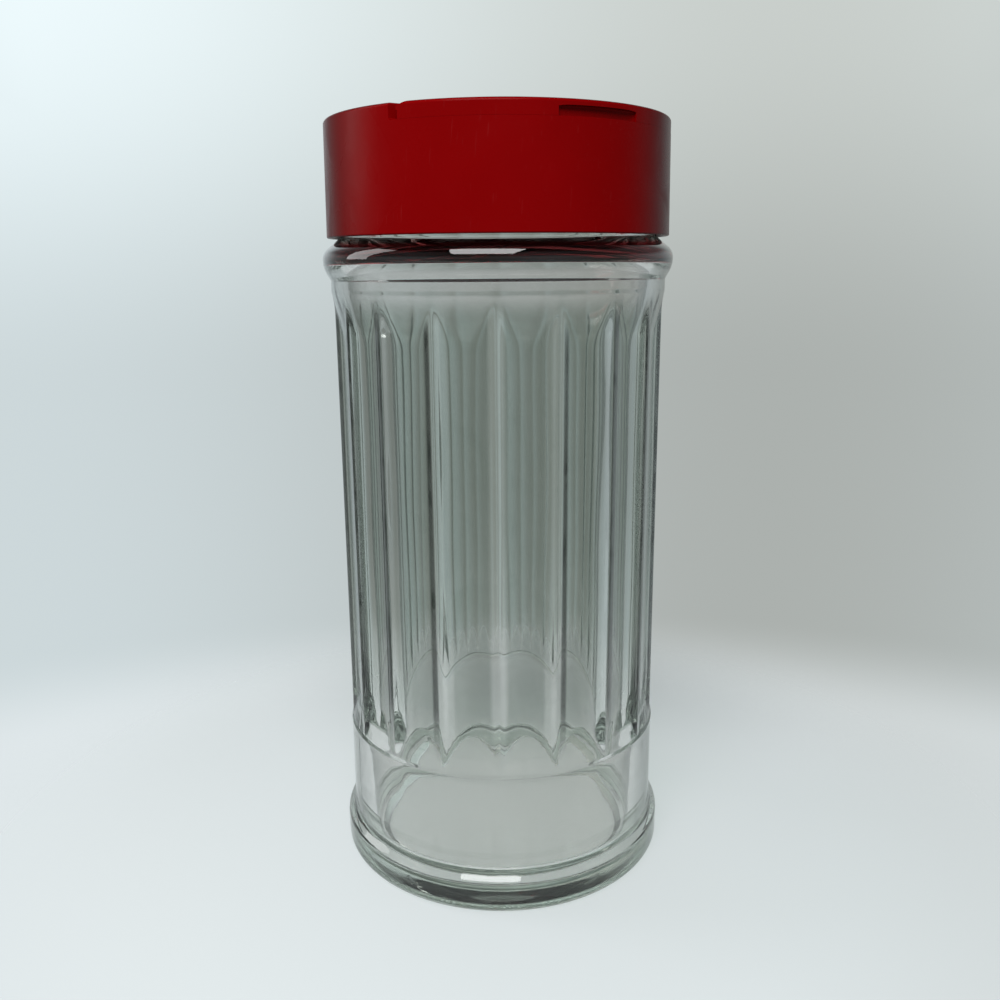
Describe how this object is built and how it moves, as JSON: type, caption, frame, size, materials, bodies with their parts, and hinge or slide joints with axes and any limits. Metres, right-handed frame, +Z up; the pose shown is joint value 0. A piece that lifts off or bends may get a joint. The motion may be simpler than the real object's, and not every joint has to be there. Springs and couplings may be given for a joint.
{
  "type": "sweetener shaker",
  "caption": "Fluted glass jar with a red screw cap that has a pouring flap and a sprinkling flap on living hinges, for sweetener, sugar or spice on a table.",
  "frame": {"origin": "on the jar's axis, in the plane that the jar stands on", "axes": "+Z up along the jar's axis; the pouring flap is on the -Y side and the sprinkling flap on the +Y side, both hinged along X"},
  "size_m": [0.0684, 0.0684, 0.149],
  "materials": {
    "jar_glass": "clear pressed glass with a faint grey-green tint",
    "cap_plastic": "moulded polypropylene, deep red, soft gloss",
    "liner_foam": "white foamed polyethylene"
  },
  "bodies": {
    "jar": {"glass_jar": "jar_glass"},
    "liner": {"cap_liner": "liner_foam"},
    "cap": {"cap_shell": "cap_plastic"},
    "pour_lid": {"pour_flap": "cap_plastic"},
    "sprinkle_lid": {"sprinkle_flap": "cap_plastic"}
  },
  "joints": [
    {"name": "cap_lift", "type": "slide", "parent": "jar", "child": "liner", "axis": [0, 0, 1], "range_m": [0, 0.0053]},
    {"name": "cap_turn", "type": "hinge", "parent": "liner", "child": "cap", "pos_m": [0, 0, 0.1354], "axis": [0, 0, 1], "range_deg": [0, 450]},
    {"name": "pour_flap_hinge", "type": "hinge", "parent": "cap", "child": "pour_lid", "pos_m": [0, -0.01505, 0.1481], "axis": [-1, 0, 0], "range_deg": [0, 105]},
    {"name": "sprinkle_flap_hinge", "type": "hinge", "parent": "cap", "child": "sprinkle_lid", "pos_m": [0, 0.01505, 0.1481], "axis": [1, 0, 0], "range_deg": [0, 105]}
  ],
  "couplings": [
    {"joint": "cap_lift", "follows": "cap_turn", "m_per_rad": 0.0006737}
  ]
}
